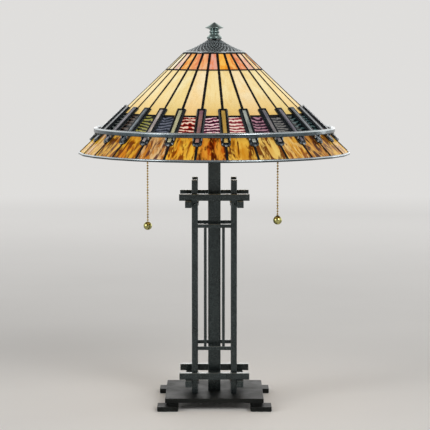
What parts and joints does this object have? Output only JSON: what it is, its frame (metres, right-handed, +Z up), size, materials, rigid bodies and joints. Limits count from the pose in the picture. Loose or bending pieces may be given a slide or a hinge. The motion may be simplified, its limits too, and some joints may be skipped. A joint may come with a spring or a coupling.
{
  "type": "stained glass table lamp",
  "caption": "Leaded glass cone shade with raised bars and a hoop, on a square column in a lattice of posts and crossed bars, lit by a twin pull-chain cluster.",
  "frame": {"origin": "on the table, under the centre of the base", "axes": "+Z up along the column, -Y the front, +X the viewer's right"},
  "size_m": [0.4186, 0.4186, 0.591],
  "materials": {
    "bronze": "satin dark bronze",
    "lead": "blackened solder, satin",
    "solder": "bright solder",
    "felt": "felt",
    "steel": "zinc plated",
    "plastic": "black nylon",
    "brass": "antique brass",
    "dark_brass": "dark antique brass",
    "liner": "insulating paper",
    "phenolic": "moulded phenolic",
    "aluminium": "bright",
    "bulb_glass": "frosted, lit",
    "glass_top": "opalescent, orange and pink",
    "glass_cream": "opalescent cream",
    "glass_ripple": "rippled, mauve and grey",
    "glass_amber": "streaky amber",
    "glass_strip": "iridescent grey and mauve"
  },
  "bodies": {
    "lamp": {"base_plate": "bronze", "feet": "bronze", "column": "bronze", "posts": "bronze", "crossbar_top_front": "bronze", "crossbar_top_rear": "bronze", "crossbar_top_left": "bronze", "crossbar_top_right": "bronze", "crossbar_low_front": "bronze", "crossbar_low_rear": "bronze", "crossbar_low_left": "bronze", "crossbar_low_right": "bronze", "lattice_rails": "bronze", "lattice_rods": "bronze", "post_rivets": "bronze", "shade_hoop": "bronze", "cap": "bronze", "felt_pads": "felt", "foot_screws": "steel", "post_screws": "steel", "crossbar_screws": "steel", "column_bolt": "steel", "column_foot_plug": "steel", "column_top_plug": "steel", "hub_locknut": "steel", "wheel_nut": "steel", "stem_pipe": "steel", "finial_stud": "steel", "shade_wheel": "steel", "cord_grommet": "plastic", "cluster_hub": "brass", "socket_arms": "brass", "socket_caps": "brass", "socket_shells": "brass", "chain_spouts": "brass", "shade_top_ring": "brass", "socket_liners": "liner", "switch_bodies": "phenolic", "screw_shells": "aluminium", "glass_top_band": "glass_top", "glass_cream_band": "glass_cream", "glass_ripple_band": "glass_ripple", "glass_amber_band": "glass_amber", "bar_glass_strips": "glass_strip", "shade_leading": "lead", "rim_bead": "lead", "shade_bars": "lead", "hoop_clips": "lead", "bar_tips": "solder"},
    "finial_knob": {"finial": "bronze"},
    "bulb_left": {"bulb_glass_left": "bulb_glass", "bulb_base_left": "aluminium"},
    "bulb_right": {"bulb_glass_right": "bulb_glass", "bulb_base_right": "aluminium"},
    "pull_left": {"pull_chain_left": "brass", "chain_knob_left": "brass"},
    "pull_right": {"pull_chain_right": "brass", "chain_knob_right": "brass", "knob_cone_right": "dark_brass"}
  },
  "joints": [
    {"name": "finial_turn", "type": "hinge", "parent": "lamp", "child": "finial_knob", "pos_m": [0, 0, 0.5653], "axis": [0, 0, 1], "continuous": true},
    {"name": "bulb_left_turn", "type": "hinge", "parent": "lamp", "child": "bulb_left", "pos_m": [-0.06405, 0.03746, 0.43], "axis": [0, 0, 1], "continuous": true},
    {"name": "bulb_right_turn", "type": "hinge", "parent": "lamp", "child": "bulb_right", "pos_m": [0.05526, -0.03565, 0.43], "axis": [0, 0, 1], "continuous": true},
    {"name": "pull_left_slide", "type": "slide", "parent": "lamp", "child": "pull_left", "axis": [0, 0, -1], "range_m": [0, 0.01], "stiffness_N_per_m": 250, "springref_m": -0.004},
    {"name": "pull_right_slide", "type": "slide", "parent": "lamp", "child": "pull_right", "axis": [0, 0, -1], "range_m": [0, 0.01], "stiffness_N_per_m": 250, "springref_m": -0.004}
  ]
}
